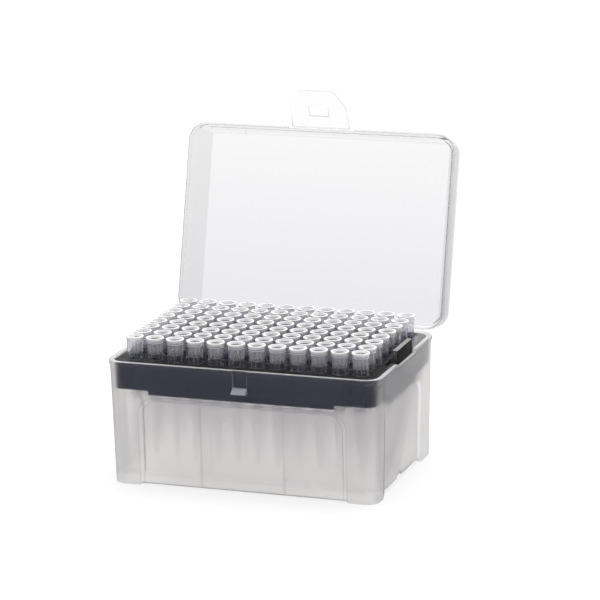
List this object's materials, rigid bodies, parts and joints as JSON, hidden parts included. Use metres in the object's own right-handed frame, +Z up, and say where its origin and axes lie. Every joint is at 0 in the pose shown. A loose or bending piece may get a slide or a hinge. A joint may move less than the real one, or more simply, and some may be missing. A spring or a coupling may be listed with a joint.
{
  "type": "box of pipette tips",
  "caption": "Hinged lab box of clear pipette tips: frosted tapered base, dark perforated rack with a lifting handle, clear lid leaning open, snap latch tab.",
  "frame": {"origin": "centre of the base's footprint, in the plane of its four feet", "axes": "+X to the right along the twelve columns of tips, +Y from the latch side towards the hinge side, +Z up"},
  "size_m": [0.1218, 0.1258, 0.1516],
  "materials": {
    "frosted_plastic": "frosted natural polypropylene, translucent",
    "dark_plastic": "fine matt dark grey moulding",
    "clear_plastic": "clear glossy moulding, nearly colourless",
    "tip_plastic": "clear natural polypropylene"
  },
  "bodies": {
    "case": {"base": "frosted_plastic", "rack": "dark_plastic", "tips_column_01": "tip_plastic", "tips_column_02": "tip_plastic", "tips_column_03": "tip_plastic", "tips_column_04": "tip_plastic", "tips_column_05": "tip_plastic", "tips_column_06": "tip_plastic", "tips_column_07": "tip_plastic", "tips_column_08": "tip_plastic", "tips_column_09": "tip_plastic", "tips_column_10": "tip_plastic", "tips_column_11": "tip_plastic", "tips_column_12": "tip_plastic"},
    "lid": {"lid": "clear_plastic"},
    "latch": {"latch_tab": "clear_plastic"}
  },
  "joints": [
    {"name": "lid_hinge", "type": "hinge", "parent": "case", "child": "lid", "pos_m": [0, 0.0438, 0.05135], "axis": [1, 0, 0], "range_deg": [0, 105]},
    {"name": "latch_hinge", "type": "hinge", "parent": "lid", "child": "latch", "pos_m": [0, 0.06845, 0.13409], "axis": [1, 0, 0], "range_deg": [-36, 54], "stiffness_Nm_per_rad": 0.004}
  ]
}
